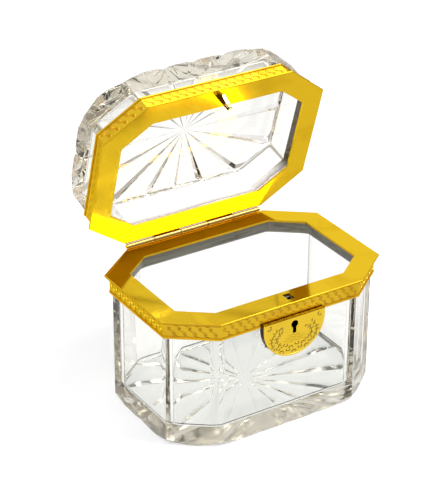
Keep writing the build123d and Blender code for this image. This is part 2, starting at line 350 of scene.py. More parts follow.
@dataclass(frozen=True)
class Crystal(Finish):
    """Clear lead glass, polished, with a trace of unevenness from the wheel.

    Below worn_level, in millimetres, it is dulled by what it has stood on.
    """

    tone: Colour = (0.985, 0.99, 0.985)
    depth_tone: Colour = (0.89, 0.875, 0.835)
    depth_density: float = 44.0
    index: float = 1.54
    waviness: float = 0.004
    bloom_roughness: float = 0.03
    worn_level: float = -1000.0
    worn_depth: float = 1.5
    worn_roughness: float = 0.09

    def inputs(self, recipe: Recipe) -> dict[str, Value]:
        """The shader's inputs.

        Args:
            recipe: The material's tree.

        Returns:
            The inputs by name.
        """
        waves = recipe.noise(70.0, 1.0)
        bloom = recipe.noise(400.0, 2.0)
        worn = recipe.axis("Z").ramp((self.worn_level + self.worn_depth) * MM, self.worn_level * MM)
        return {
            "Base Color": (*self.tone, 1.0),
            "Transmission Weight": 1.0,
            "IOR": self.index,
            "Roughness": bloom.ramp(0.55, 0.9) * self.bloom_roughness + worn * self.worn_roughness,
            "Normal": recipe.bump(waves, self.waviness * MM),
        }

    def body(self, recipe: Recipe) -> Wire:
        """The glass's own tint, which deepens with its thickness."""
        tint = {"Color": (*self.depth_tone, 1.0), "Density": self.depth_density}
        return recipe.out("ShaderNodeVolumeAbsorption", None, tint)


@dataclass(frozen=True)
class Plaster(Finish):
    """The set plaster that beds a frame, in layers from the metal plate inwards.

    The plaster glows faintly: a painted light that stands in for the light reaching it through the
    glass behind it. Above a level on one axis its colour turns to the shade colour, a painted shade.
    Lengths and levels are in metres, and the layers' places are shares of its depth.
    """

    inward: tuple[float, float, float]
    plate_level: float
    layers: tuple[tuple[float, Colour], ...]
    shade: Colour
    shade_from: tuple[str, float, float]
    glow: float
    streaked: float = 0.0
    streak_tone: Colour = (0.07, 0.06, 0.03)
    depth: float = 0.012
    raggedness: float = 0.003
    roughness: float = 0.8
    crumb_roughness: float = 0.15
    crumb_depth: float = 0.00015

    def inputs(self, recipe: Recipe) -> dict[str, Value]:
        """The shader's inputs.

        Args:
            recipe: The material's tree.

        Returns:
            The inputs by name.
        """
        crumbs = recipe.noise(900.0, 4.0)
        streaks = recipe.noise(260.0, 3.0, (0.12, 0.6, 2.0))
        level = recipe.along(recipe.own(), self.inward)
        inside = (level - self.plate_level + (streaks - 0.5) * self.raggedness) / self.depth
        layered = recipe.out("ShaderNodeValToRGB", {"stops": self.layers}, {0: inside})
        # Painted shade: above the shade_from level the colour turns to the shade colour.
        axis, low, high = self.shade_from
        shaded = recipe.blend(recipe.axis(axis).ramp(low, high), layered, self.shade)
        colour = recipe.blend(streaks.ramp(0.45, 0.65) * self.streaked, shaded, self.streak_tone)
        return {
            "Base Color": colour,
            # Painted light: the emission stands in for light that reaches the plaster through the glass.
            "Emission Color": colour,
            "Emission Strength": self.glow,
            "Roughness": self.roughness + crumbs * self.crumb_roughness,
            "Normal": recipe.bump(crumbs, self.crumb_depth),
        }


@dataclass(frozen=True)
class LockMetal(Finish):
    """Plain metal of the lock's works, dark or bright."""

    tone: Colour
    dull: Colour
    roughness: float = 0.35
    mark_roughness: float = 0.2
    mark_depth: float = 0.006

    def inputs(self, recipe: Recipe) -> dict[str, Value]:
        """The shader's inputs.

        Args:
            recipe: The material's tree.

        Returns:
            The inputs by name.
        """
        stains = recipe.noise(350.0, 4.0)
        marks = recipe.noise(3000.0, 2.0, Grain.UPRIGHT.value)
        return {
            "Base Color": recipe.blend(stains.ramp(0.4, 0.7), self.tone, self.dull),
            "Metallic": 1.0,
            "Roughness": self.roughness + (marks - 0.5) * self.mark_roughness,
            "Normal": recipe.bump(marks, self.mark_depth * MM),
        }


@dataclass(frozen=True)
class StapleMetal(Finish):
    """Bright gilt, darkened on the staple's left face as painted shade; the face's place is in millimetres.
    """

    left_face: float
    bright: Colour = (0.95, 0.78, 0.40)
    left_face_shade: Colour = (0.035, 0.012, 0.004)
    roughness: float = 0.2
    stain_roughness: float = 0.15

    def inputs(self, recipe: Recipe) -> dict[str, Value]:
        """The shader's inputs.

        Args:
            recipe: The material's tree.

        Returns:
            The inputs by name.
        """
        stains = recipe.noise(700.0, 3.0)
        on_left = recipe.axis("X").ramp((self.left_face + 0.25) * MM, (self.left_face + 0.05) * MM)
        # Painted shade: the left face is darkened to near black.
        colour = recipe.blend(on_left, self.bright, self.left_face_shade)
        rough = self.roughness + stains * self.stain_roughness
        return {"Base Color": colour, "Metallic": 1.0, "Roughness": rough}


@dataclass(frozen=True)
class PaintedReflection(Finish):
    """A dark line in the corner of the hollow: a painted reflection of the dark line the glass shows there.
    """

    tone: Colour = (0.13, 0.135, 0.11)
    pale: Colour = (0.30, 0.30, 0.27)

    def inputs(self, recipe: Recipe) -> dict[str, Value]:
        """The shader's inputs: a colour in blotches, and matt all over."""
        blotches = recipe.noise(260.0, 3.0).ramp(0.5, 0.7)
        return {"Base Color": recipe.blend(blotches, self.tone, self.pale), "Roughness": 0.9}


class Palette:
    """Every finish of the casket, each made once."""

    def __init__(self) -> None:
        """Makes the finishes of the glass, the gilding, the plaster and the lock."""
        self.crystal = Crystal("crystal").make()
        self.worn_crystal = Crystal("crystal_worn_below", worn_level=2.6).make()
        self.gilt = Gilt("gilt").make()
        self.lid_gilt = Gilt("gilt_lid_plate", roughness=0.16).make()
        # The base plate's edges below 77.98 mm get painted shade over their highlight.
        self.base_gilt = Gilt("gilt_base_plate", (0.83, 0.545, 0.034), edge_level=77.98).make()
        self.chased = Gilt("gilt_chased_ground", (0.84, 0.54, 0.03), tarnish=0.40, roughness=0.24).make()
        self.lock_gilt = Gilt("gilt_lock_plate", (0.98, 0.67, 0.05), tarnish=0.12, roughness=0.20).make()
        # gilt_glint is a painted highlight on the lock plate's raised lines; the engraved gilt is dark
        # patina with painted shade.
        self.glint = Gilt("gilt_glint", (1.0, 0.78, 0.14), tarnish=0.0, roughness=0.32).make()
        # gilt_bright and gilt_shaded are lit and shaded copies of the gilding: painted highlight and painted
        # shade.
        self.bright = Gilt("gilt_bright", (0.88, 0.60, 0.05), tarnish=0.1, roughness=0.16).make()
        self.shaded = Gilt("gilt_shaded", (0.38, 0.19, 0.008), (0.22, 0.10, 0.005), roughness=0.25).make()
        self.engraved = Gilt("gilt_engraved", (0.20, 0.09, 0.006), (0.10, 0.04, 0.003),
                             roughness=0.25).make()
        self.barrel = Gilt("gilt_barrel", (0.62, 0.47, 0.18), (0.46, 0.33, 0.10), roughness=0.38).make()
        self.staple = StapleMetal("staple_metal", 0.1).make()
        # The lock case is dark brass, made near black partly as painted shade on the ledge above the lock
        # plate.
        self.brass = LockMetal("lock_brass", (0.06, 0.025, 0.010), (0.02, 0.010, 0.006), 0.45).make()
        self.steel = LockMetal("lock_steel", (0.55, 0.54, 0.52), (0.30, 0.28, 0.25)).make()
        self.painted_reflection = PaintedReflection("settled_dust").make()
        umber, grey, white = (0.10, 0.075, 0.04), (0.28, 0.27, 0.21), (0.85, 0.84, 0.83)
        ivory, slate, painted_shade_brown = (0.95, 0.88, 0.80), (0.40, 0.37, 0.38), (0.075, 0.048, 0.004)
        # The base's plaster is umber and grey below its plate where the lid's is ivory: painted shade under
        # the frame and plates.
        shaded_base_layers = ((0.12, umber), (0.45, grey), (0.70, grey), (0.86, white))
        # Each plaster's last number, 0.22 and 0.6, is its glow: a painted light.
        self.base_plaster = Plaster("base_plaster", (0.0, 0.0, -1.0), -0.0768, shaded_base_layers, umber,
                                    ("Y", 9.0, 10.0), 0.22, streaked=0.6).make()
        lid_layers = ((0.10, ivory), (0.36, ivory), (0.42, slate), (0.62, white))
        # The lid's plaster turns near black above 0.094 m to 0.104 m: a painted shade.
        self.lid_plaster = Plaster("lid_plaster", (0.0, 0.956, 0.294), 0.0729, lid_layers, painted_shade_brown,
                                   ("Z", 0.094, 0.104), 0.6).make()

    def dress_nodes(self, nodes: Mapping[str, Object]) -> None:
        """Dresses the CAD nodes that are seen as they are.

        Args:
            nodes: The CAD's nodes by name.
        """
        dressed = (
            (self.base_plaster, ("base_bedding",)),
            (self.base_gilt, ("base_rim_plate",)),
            (self.gilt, ("hinge_pin",)),
            (self.lid_gilt, ("lid_rim_plate",)),
            (self.lid_plaster, ("lid_bedding",)),
            (self.chased, ("base_band", "lid_band")),
            (self.brass, ("lock_case", "lock_back_plate", "lock_rivets")),
            (self.steel, ("lock_bolt", "bolt_guides", "bolt_spring", "key_pin", "key_ward")),
        )
        for material, names in dressed:
            for name in names:
                dress(nodes[name], material)
                LOG.info("dressed %s", name)


# --------------------------------------------------------------------------
# The studio
# --------------------------------------------------------------------------

@dataclass
class Studio:
    """Floor, surroundings, lamps and camera. Nothing here belongs to the casket.

    Lengths are in metres, but the lens's is in millimetres, and angles are in degrees. Metal and
    glass show a white floor and backdrop with a dimmer, warmer room behind the camera, whatever
    light falls on the casket.
    """

    eye: tuple[float, float, float] = (-0.48629, -0.73786, 0.56174)
    yaw: float = 32.69
    pitch: float = 28.26
    roll: float = 0.36
    lens: float = 133.2
    floor_half: float = 4.0
    floor_gap: float = 0.00008
    floor_glow: float = 0.26
    floor_glow_tone: Colour = (0.98, 0.99, 1.0)
    floor_dull: Colour = (0.80, 0.805, 0.81)
    floor_clean: Colour = (0.84, 0.84, 0.84)
    footprint: tuple[float, float] = (0.066, 0.045)
    floor_mirrored: Colour = (0.88, 0.87, 0.85)
    floor_painted_shadow_under_glass: Colour = (0.93, 0.95, 0.94)
    floor_beside_glass: Colour = (1.15, 1.15, 1.15)
    floor_far_off: Colour = (0.50, 0.46, 0.40)
    room_low: Colour = (0.42, 0.39, 0.34)
    room_high: Colour = (0.58, 0.55, 0.50)
    ceiling: Colour = (0.60, 0.58, 0.55)
    ceiling_share: float = 0.6
    backdrop_white: Colour = (1.0, 1.0, 1.0)
    softbox_white: Colour = (2.4, 2.4, 2.3)
    sky_light: Colour = (0.97, 0.98, 1.0)
    sky_strength: float = 0.75
    aim: tuple[float, float, float] = (0.0, 0.0, 0.08)

    def build(self) -> None:
        """Makes everything in turn."""
        self.make_camera()
        self.make_floor()
        self.make_surroundings()
        self.add_lamp("key", (0.566, -0.343, 1.09), 0.56, 9.0)
        self.add_lamp("fill", (-0.9, -0.3, 0.8), 0.8, 5.0)

    def make_camera(self) -> None:
        """The camera at the photograph's viewing angle."""
        yaw, pitch, roll = (math.radians(a) for a in (self.yaw, self.pitch, self.roll))
        ahead = Vector((math.sin(yaw) * math.cos(pitch), math.cos(yaw) * math.cos(pitch), -math.sin(pitch)))
        level = Vector((math.cos(yaw), -math.sin(yaw), 0.0))
        up = level.cross(ahead)
        right = level * math.cos(roll) + up * math.sin(roll)
        top = up * math.cos(roll) - level * math.sin(roll)
        data = bpy.data.cameras.new("camera")
        data.lens = self.lens
        data.sensor_width = 36.0
        data.clip_start = 0.01
        data.clip_end = 50.0
        camera = bpy.data.objects.new("camera", data)
        columns = Matrix((right, top, -ahead)).transposed()
        camera.matrix_world = Matrix.Translation(self.eye) @ columns.to_4x4()
        bpy.context.scene.collection.objects.link(camera)
        bpy.context.scene.camera = camera

    def make_floor(self) -> None:
        """A plain white floor that keeps the casket's shadow."""
        sides = ((-1, -1), (1, -1), (1, 1), (-1, 1))
        corners = [(x * self.floor_half, y * self.floor_half, -self.floor_gap) for x, y in sides]
        mesh = bpy.data.meshes.new("floor")
        mesh.from_pydata(corners, [], [(0, 1, 2, 3)])
        floor = bpy.data.objects.new("floor", mesh)
        bpy.context.scene.collection.objects.link(floor)
        material, recipe = material_recipe("floor_white")
        camera, mirrored, through = self.seen_rays(recipe)
        tone = recipe.blend(recipe.noise(9.0, 2.0), self.floor_dull, self.floor_clean)
        matt = recipe.out("ShaderNodeBsdfDiffuse", None, {"Color": tone})
        glow_inputs = {"Color": (*self.floor_glow_tone, 1.0), "Strength": camera * self.floor_glow}
        glow = recipe.out("ShaderNodeEmission", None, glow_inputs)
        lit = recipe.out("ShaderNodeAddShader", None, {0: matt, 1: glow})
        image_inputs = {"Color": self.floor_image(recipe, through), "Strength": 1.0}
        image = recipe.out("ShaderNodeEmission", None, image_inputs)
        recipe.close(recipe.out("ShaderNodeMixShader", None, {0: mirrored, 1: lit, 2: image}))
        mesh.materials.append(material)

    def floor_image(self, recipe: Recipe, through: Wire) -> Wire:
        """The floor as the casket's metal and glass show it: white near by, with a painted shadow under
        the casket and painted falloff of the light to warm grey far off.

        Args:
            recipe: The floor's tree.
            through: 1 for a ray that comes through the glass.

        Returns:
            Its colour.
        """
        away = recipe.out("ShaderNodeVectorMath", {"operation": "LENGTH"}, {0: recipe.own()}, "Value")
        beyond = away.ramp(0.30, 0.55) * (1.0 - through) + away.ramp(0.38, 0.62) * through
        beside = [recipe.axis(name).unsigned() - half for name, half in zip("XY", self.footprint)]
        outside = beside[0].larger(beside[1]).ramp(-0.004, 0.022)
        # Painted shadow: seen through the glass, the floor under the casket's footprint is dimmer.
        seen_through = recipe.blend(outside, self.floor_painted_shadow_under_glass, self.floor_beside_glass)
        near = recipe.blend(through, self.floor_mirrored, seen_through)
        # Painted falloff of the light: far off, the floor turns warm grey.
        return recipe.blend(beyond, near, self.floor_far_off)

    @staticmethod
    def seen_rays(recipe: Recipe) -> tuple[Wire, Wire, Wire]:
        """Tells apart the ways in which a ray can come from the camera.

        Args:
            recipe: The tree that asks.

        Returns:
            1 for a ray that comes straight, one by way of the casket and one through its glass.
        """
        path = recipe.node("ShaderNodeLightPath")
        names = ("Is Camera Ray", "Is Glossy Ray", "Is Transmission Ray")
        camera, glossy, through = (Wire(recipe, path.outputs[name]) for name in names)
        return camera, glossy.larger(through) * (1.0 - camera), through

    def make_surroundings(self) -> None:
        """A pale backdrop behind the casket and a dimmer, warmer room behind the camera."""
        world = bpy.data.worlds.new("surroundings")
        bpy.context.scene.world = world
        world.use_nodes = True
        recipe = Recipe(world.node_tree)
        direction = recipe.out("ShaderNodeTexCoord", output="Generated")
        yaw = math.radians(self.yaw)
        ahead = recipe.along(direction, (math.sin(yaw), math.cos(yaw), 0.0))
        rightward = recipe.along(direction, (math.cos(yaw), -math.sin(yaw), 0.0))
        height = recipe.out("ShaderNodeSeparateXYZ", None, {0: direction}, "Z")
        backdrop = ahead.ramp(-0.35, 0.30)
        overhead = height.ramp(0.55, 0.80) * self.ceiling_share * (1.0 - backdrop)
        softbox = height.ramp(0.62, 0.74) * backdrop * rightward.ramp(-0.45, -0.10)
        picture = recipe.blend(height.ramp(0.0, 0.5), self.room_low, self.room_high)
        for share, colour in ((backdrop, self.backdrop_white), (overhead, self.ceiling),
                              (softbox, self.softbox_white)):
            picture = recipe.blend(share, picture, colour)
        seen = recipe.out("ShaderNodeBackground", None, {"Color": picture, "Strength": 1.0})
        light_inputs = {"Color": (*self.sky_light, 1.0), "Strength": self.sky_strength}
        light = recipe.out("ShaderNodeBackground", None, light_inputs)
        camera, mirrored, _ = self.seen_rays(recipe)
        shader = recipe.out("ShaderNodeMixShader", None, {0: camera + mirrored, 1: light, 2: seen})
        recipe.node("ShaderNodeOutputWorld", None, {"Surface": shader})

    def add_lamp(self, name: str, place: Sequence[float], size: float, power: float) -> None:
        """A square soft lamp aimed at the casket.

        Args:
            name: The lamp's name.
            place: Where it hangs.
            size: Its side, in metres.
            power: Its power, in watts.
        """
        data = bpy.data.lights.new(name, "AREA")
        data.size = size
        data.energy = power
        lamp = bpy.data.objects.new(name, data)
        lamp.location = place
        lamp.rotation_mode = "QUATERNION"
        lamp.rotation_quaternion = (Vector(self.aim) - Vector(place)).to_track_quat("-Z", "Y")
        lamp.visible_camera = False
        bpy.context.scene.collection.objects.link(lamp)


# --------------------------------------------------------------------------
# Shared shape of the casket, in millimetres
# --------------------------------------------------------------------------

@dataclass(frozen=True)
class Outline:
    """The oblong with four corners cut off that every part of the casket follows."""

    half_length: float = 70.0
    half_depth: float = 48.75
    cut_length: float = 25.0
    cut_depth: float = 19.2
    least_cosine: float = 0.05

    def sides(self, setback: float) -> list[Point2]:
        """The eight sides, counterclockwise from the right end.

        Args:
            setback: How far the outline is moved inwards.

        Returns:
            For each side, the direction it faces in radians and its distance from the centre.
        """
        tilt = math.atan2(self.cut_length, self.cut_depth)
        reach = math.cos(tilt) * (self.half_length - self.cut_length) + math.sin(tilt) * self.half_depth
        quarter = math.pi / 2
        faces = [(0.0, self.half_length), (tilt, reach), (quarter, self.half_depth), (math.pi - tilt, reach)]
        turned = [(angle + math.pi, distance) for angle, distance in faces]
        return [(angle, distance - setback) for angle, distance in faces + turned]

    def corners(self, setback: float) -> Path2:
        """The eight corners, counterclockwise, the first at the right end's back."""
        sides = self.sides(setback)
        return [self._meeting(side, after) for side, after in zip(sides, sides[1:] + sides[:1])]

    @staticmethod
    def _meeting(first: Point2, second: Point2) -> Point2:
        """Finds the corner where two sides meet.

        Args:
            first: Direction and distance of a side.
            second: Those of the side after it.

        Returns:
            The corner.
        """
        (a, p), (b, q) = first, second
        span = math.sin(b - a)
        return (p * math.sin(b) - q * math.sin(a)) / span, (q * math.cos(a) - p * math.cos(b)) / span

    def radius(self, angle: float, setback: float, rounding: float) -> float:
        """Distance from the centre to the outline in one direction.

        Args:
            angle: The direction, in radians.
            setback: How far the outline is moved inwards.
            rounding: Radius of its corners.

        Returns:
            The distance.
        """
        slants = [(math.cos(angle - face), distance) for face, distance in self.sides(setback)]
        straight = min(distance / cosine for cosine, distance in slants if cosine > self.least_cosine)
        if rounding <= 0.0:
            return straight
        inner = self.sides(setback + rounding)
        for side, after in zip(inner, inner[1:] + inner[:1]):
            x, y = self._meeting(side, after)
            along = x * math.cos(angle) + y * math.sin(angle)
            off_square = x * x + y * y - along * along
            if along <= 0.0 or off_square > rounding * rounding:
                continue
            reach = along + math.sqrt(rounding * rounding - off_square)
            facing = math.atan2(reach * math.sin(angle) - y, reach * math.cos(angle) - x)
            if (facing - side[0]) % FULL_TURN < (after[0] - side[0]) % FULL_TURN:
                return reach
        return straight


OUTLINE = Outline()
BASE_HEIGHT = 78.0
LID_HEIGHT = 31.4
SHUT_GAP = 0.1
MIDDLE_X = 1.1
AXIS_Y = 50.95
AXIS_Z = BASE_HEIGHT + SHUT_GAP / 2
OPEN_ANGLE = math.radians(72.9)
LID_OPENING = (Matrix.Translation((0.0, AXIS_Y * MM, AXIS_Z * MM)) @ Matrix.Rotation(-OPEN_ANGLE, 4, "X")
               @ Matrix.Translation((0.0, -AXIS_Y * MM, -AXIS_Z * MM)))


def add_mesh(name: str, points: Sequence[Vector], faces: Sequence[Face], place: Matrix = HERE) -> Object:
    """A mesh object with its place in its points.

    Args:
        name: The piece's name.
        points: Its points in millimetres.
        faces: Its faces.
        place: Where it goes, in metres.

    Returns:
        The object, linked to the scene.
    """
    mesh = bpy.data.meshes.new(name)
    mesh.from_pydata([place @ (Vector(point) * MM) for point in points], [], faces)
    piece = bpy.data.objects.new(name, mesh)
    bpy.context.scene.collection.objects.link(piece)
    return piece


def smooth_but_creased(mesh: bpy.types.Mesh, crease: float) -> None:
    """Shades a mesh smooth, apart from edges sharper than an angle in degrees."""
    mesh.shade_smooth()
    mesh.set_sharp_from_angle(angle=math.radians(crease))


def face_outward(mesh: bpy.types.Mesh) -> None:
    """Turns every face of closed shapes outward.

    Args:
        mesh: The mesh with those shapes.
    """
    work = bmesh.new()
    work.from_mesh(mesh)
    bmesh.ops.recalc_face_normals(work, faces=work.faces)
    work.to_mesh(mesh)
    work.free()


def settle(piece: Object) -> None:
    """Turns a piece's modifiers into plain mesh.

    Args:
        piece: The piece, whose mesh is replaced.
    """
    graph = bpy.context.evaluated_depsgraph_get()
    mesh = bpy.data.meshes.new_from_object(piece.evaluated_get(graph))
    piece.modifiers.clear()
    mesh.name = piece.data.name
    piece.data = mesh


def dress(piece: Object, material: Material) -> None:
    """Gives a CAD node or a piece one material.

    Args:
        piece: What is dressed.
        material: Its finish.
    """
    if not piece.data.materials:
        piece.data.materials.append(material)
    for slot in piece.material_slots:
        slot.material = material


def mount(piece: Object, material: Material, body: str, node: str = "") -> None:
    """Dresses a finished piece and puts it on the body that it moves with.

    Args:
        piece: The piece.
        material: Its finish.
        body: The body that it rides on.
        node: The CAD node that it stands for, if it does.
    """
    dress(piece, material)
    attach(piece, body)
    if node:
        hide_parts(node)
    LOG.info("built %s, %d faces", piece.name, len(piece.data.polygons))


def strip(low: int, high: int, count: int) -> list[Face]:
    """Faces between two closed loops of points.

    Args:
        low: Number of the first loop's first point.
        high: Number of the other loop's first point.
        count: Points in each loop.

    Returns:
        One face for each step round the loops.
    """
    return [(low + k, low + (k + 1) % count, high + (k + 1) % count, high + k) for k in range(count)]


class Shape:
    """Closed shells that are gathered into one mesh, in millimetres."""

    BROKEN_EDGE = 0.12
    ROD_SIDES = 28

    def __init__(self) -> None:
        """Starts empty."""
        self.points: list[Vector] = []
        self.faces: list[Face] = []

    def loft(self, rings: Sequence[Ring]) -> None:
        """Joins rings of equal size and closes both ends.

        Args:
            rings: The rings, from end to end.
        """
        start, size = len(self.points), len(rings[0])
        for level, ring in enumerate(rings):
            self.points += ring
            if level > 0:
                self.faces += strip(start + (level - 1) * size, start + level * size, size)
        last = len(self.points) - size
        self.faces.append(tuple(start + k for k in reversed(range(size))))
        self.faces.append(tuple(last + k for k in range(size)))

    def slab(self, side_view: Path2, left: float, right: float) -> None:
        """A shape drawn in y and z, carried from one x to another."""
        self.loft([[Vector((x, y, z)) for y, z in side_view] for x in (left, right)])

    def block(self, low: Sequence[float], high: Sequence[float]) -> None:
        """A block between two corners."""
        (x0, y0, z0), (x1, y1, z1) = low, high
        self.slab([(y0, z0), (y1, z0), (y1, z1), (y0, z1)], x0, x1)

    def rod(self, axis: Point2, radius: float, left: float, right: float) -> None:
        """A rod along x with broken edges at both ends.

        Args:
            axis: Its y and z.
            radius: Its radius.
            left: Where it begins.
            right: Where it ends.
        """
        edge = radius * self.BROKEN_EDGE
        turns = [FULL_TURN * k / self.ROD_SIDES for k in range(self.ROD_SIDES)]
        rings = []
        for x, reach in ((left, radius - edge), (left + edge, radius),
                         (right - edge, radius), (right, radius - edge)):
            rings.append([Vector((x, axis[0] + reach * math.cos(turn), axis[1] + reach * math.sin(turn)))
                          for turn in turns])
        self.loft(rings)

    def line_round(self, setback: float, level: float, width: float, rise: float) -> None:
        """A thin line round the casket's outline, standing a little out of the face it lies on.

        Args:
            setback: How far that face lies inside the outline.
            level: Height of the line's middle.
            width: Its width.
            rise: How far it stands out.
        """
        section = ((setback + rise, level - width / 2), (setback - rise, level - width / 3),
                   (setback - rise, level + width / 3), (setback + rise, level + width / 2))
        self.hoop([[Vector((x, y, z)) for x, y in OUTLINE.corners(inset)] for inset, z in section])

    def hoop(self, loops: Sequence[Ring]) -> None:
        """Joins closed loops into a closed hoop.

        Args:
            loops: The line that each corner of the hoop's section follows, in order.
        """
        start, count = len(self.points), len(loops[0])
        for k, loop in enumerate(loops):
            self.points += loop
            self.faces += strip(start + k * count, start + (k + 1) % len(loops) * count, count)

    def make(self, name: str, place: Matrix = HERE, crease: float = 35.0) -> Object:
        """The finished piece.

        Args:
            name: Its name.
            place: Where it goes, in metres.
            crease: Edges sharper than this many degrees stay sharp.

        Returns:
            The object.
        """
        piece = add_mesh(name, self.points, self.faces, place)
        face_outward(piece.data)
        smooth_but_creased(piece.data, crease)
        return piece

    def cut_from(self, piece: Object, crease: float) -> None:
        """Cuts this shape out of a piece and shades the piece afresh.

        Args:
            piece: The piece, whose mesh is replaced.
            crease: Edges sharper than this many degrees stay sharp.
        """
        cutter = self.make("cutter")
        cut = piece.modifiers.new("cut", "BOOLEAN")
        cut.operation = "DIFFERENCE"
        cut.solver = "EXACT"
        cut.object = cutter
        settle(piece)
        smooth_but_creased(piece.data, crease)
        bpy.data.objects.remove(cutter)


def about_mouth(turn: Matrix) -> Matrix:
    """A turn about the middle of the level where the shut base and lid meet."""
    level = AXIS_Z * MM
    return Matrix.Translation((0.0, 0.0, level)) @ turn @ Matrix.Translation((0.0, 0.0, -level))


# --------------------------------------------------------------------------
# Chased and engraved ornament
# --------------------------------------------------------------------------

class Curl(Enum):
    """How a scroll's two ends lie to each other: turned about its middle, or mirrored."""

    S_SHAPED = (-1.0, -1.0)
    C_SHAPED = (-1.0, 1.0)


@dataclass(frozen=True)
class Scroll:
    """A line that curls ever tighter toward both ends, drawn in x and z in millimetres."""

    curl: Curl
    half_length: float
    turning: float
    lean: float = 0.0
    steps: int = 9

    def path(self) -> Path2:
        """Draws the line.

        Returns:
            Its points, from end to end, about the origin.
        """
        x = z = 0.0
        half: Path2 = []
        shares = [math.sqrt(step / self.steps) for step in range(self.steps + 1)]
        for before, after in zip(shares, shares[1:]):
            heading = self.turning * (before + after) ** 2 / 4
            length = self.half_length * (after - before)
            x += math.cos(heading) * length
            z += math.sin(heading) * length
            half.append((x, z))
        flip_x, flip_z = self.curl.value
        other = [(x * flip_x, z * flip_z) for x, z in reversed(half)]
        cos, sin = math.cos(self.lean), math.sin(self.lean)
        return [(x * cos - z * sin, x * sin + z * cos) for x, z in other + [(0.0, 0.0)] + half]


@dataclass(frozen=True)
class Chisel:
    """The section of a raised line: a low ridge with sloping sides, sunk a little into its face."""

    width: float
    rise: float
    foot: float = 0.03
    tapered: bool = True
    end_loss: float = 0.55
    flat_share: float = 0.4

    def cut(self, name: str, paths: Sequence[Path2]) -> Object:
        """Makes ridges along paths, facing -Y on a face at y = 0.

        Args:
            name: The piece's name.
            paths: Lines in x and z.

        Returns:
            One object with all the ridges.
        """
        ridges = Shape()
        for path in paths:
            ridges.loft([self._section(path, i) for i in range(len(path))])
        piece = add_mesh(name, ridges.points, ridges.faces)
        face_outward(piece.data)
        return piece

    def _section(self, path: Path2, i: int) -> Ring:
        """Draws the ridge's section at one point of a path.

        Args:
            path: The path in x and z.
            i: The point's number.

        Returns:
            The section's four corners.
        """
        before, after = path[max(i - 1, 0)], path[min(i + 1, len(path) - 1)]
        dx, dz = after[0] - before[0], after[1] - before[1]
        length = math.hypot(dx, dz)
        from_middle = abs(2.0 * i / (len(path) - 1) - 1.0) if self.tapered else 0.0
        half = self.width / 2 * (1.0 - self.end_loss * from_middle ** 3)
        top = self.flat_share
        corners = ((1.0, self.foot), (top, -self.rise), (-top, -self.rise), (-1.0, self.foot))
        x, z = path[i]
        return [Vector((x - dz / length * half * side, y, z + dx / length * half * side))
                for side, y in corners]


class Repeat:
    """A Geometry Nodes tree that sets a motif on each point of a path, turned as the point says."""

    SEED = 7
    SMALLEST = 0.95
    LARGEST = 1.03
    CREASE = 60.0

    def __init__(self) -> None:
        """Builds the tree."""
        self.tree = bpy.data.node_groups.new("repeat_motif", "GeometryNodeTree")
        sockets = {"Path": "NodeSocketGeometry", "Motif": "NodeSocketObject", "Smallest": "NodeSocketFloat",
                   "Largest": "NodeSocketFloat", "Finish": "NodeSocketMaterial"}
        for name, kind in sockets.items():
            self.tree.interface.new_socket(name, in_out="INPUT", socket_type=kind)
        self.tree.interface.new_socket("Result", in_out="OUTPUT", socket_type="NodeSocketGeometry")
        given = self._node("NodeGroupInput", {}).outputs
        turn = self._node("GeometryNodeInputNamedAttribute", {"Name": "turn"}, "FLOAT_VECTOR")
        turned = self._node("FunctionNodeEulerToRotation", {"Euler": turn.outputs["Attribute"]})
        range_inputs = {2: given["Smallest"], 3: given["Largest"], "Seed": self.SEED}
        sizes = self._node("FunctionNodeRandomValue", range_inputs, "FLOAT")
        motif = self._node("GeometryNodeObjectInfo", {"Object": given["Motif"], "As Instance": True})
        laid = self._node("GeometryNodeInstanceOnPoints", {
            "Points": given["Path"], "Instance": motif.outputs["Geometry"],
            "Rotation": turned.outputs[0], "Scale": sizes.outputs[1]})
        real = self._node("GeometryNodeRealizeInstances", {"Geometry": laid.outputs[0]})
        dressed = self._node("GeometryNodeSetMaterial", {
            "Geometry": real.outputs[0], "Material": given["Finish"]})
        self._node("NodeGroupOutput", {"Result": dressed.outputs[0]})

    def _node(self, kind: str, sockets: Mapping[str | int, Value], data_type: str = "") -> bpy.types.Node:
        """Adds a node.

        Args:
            kind: The node's type.
            sockets: Its inputs by name or number, as sockets or plain values.
            data_type: What it works on, where it can work on more than one thing.

        Returns:
            The node.
        """
        node = self.tree.nodes.new(kind)
        if data_type:
            node.data_type = data_type
        for key, value in sockets.items():
            if isinstance(value, bpy.types.NodeSocket):
                self.tree.links.new(value, node.inputs[key])
            else:
                node.inputs[key].default_value = value
        return node

    def lay(self, name: str, places: Sequence[Place], motif: Object, finish: Material,
            opening: Matrix = HERE) -> Object:
        """Repeats a motif and turns the result into plain mesh.

        Args:
            name: The piece's name.
            places: For each copy, its place in millimetres and its turn in radians.
            motif: What is repeated; it is used up.
            finish: The copies' material.
            opening: Where the whole goes afterwards, in metres.

        Returns:
            The piece.
        """
        piece = add_mesh(name, [place for place, _ in places], [])
        turns = piece.data.attributes.new("turn", "FLOAT_VECTOR", "POINT")
        for i, (_, turn) in enumerate(places):
            turns.data[i].vector = turn
        given = {"Motif": motif, "Smallest": self.SMALLEST, "Largest": self.LARGEST, "Finish": finish}
        repeat = piece.modifiers.new("repeat", "NODES")
        repeat.node_group = self.tree
        for socket in self.tree.interface.items_tree:
            if socket.name in given:
                repeat[socket.identifier] = given[socket.name]
        settle(piece)
        piece.data.transform(opening)
        smooth_but_creased(piece.data, self.CREASE)
        bpy.data.objects.remove(motif)
        return piece


